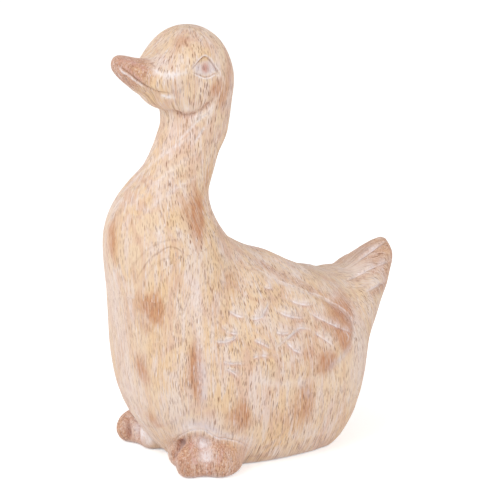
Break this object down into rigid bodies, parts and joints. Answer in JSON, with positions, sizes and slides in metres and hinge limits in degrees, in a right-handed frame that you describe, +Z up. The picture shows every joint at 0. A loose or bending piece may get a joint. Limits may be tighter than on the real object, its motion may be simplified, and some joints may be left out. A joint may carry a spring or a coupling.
{
  "type": "duck garden statue",
  "caption": "Life-size standing duck figure with a whitewashed carved-wood look: round body, raised wings, upright neck, lifted bill, short tail and broad feet on a flat base.",
  "frame": {"origin": "on the floor, under the middle of the statue's bounding box", "axes": "+Z up; the duck faces -Y, and its left side is +X"},
  "size_m": [0.1612, 0.2696, 0.3574],
  "materials": {
    "whitewashed_wood": "matt whitewash over pale brown wood, worn darker in patches"
  },
  "bodies": {
    "root": {"duck_statue": "whitewashed_wood"}
  },
  "joints": []
}
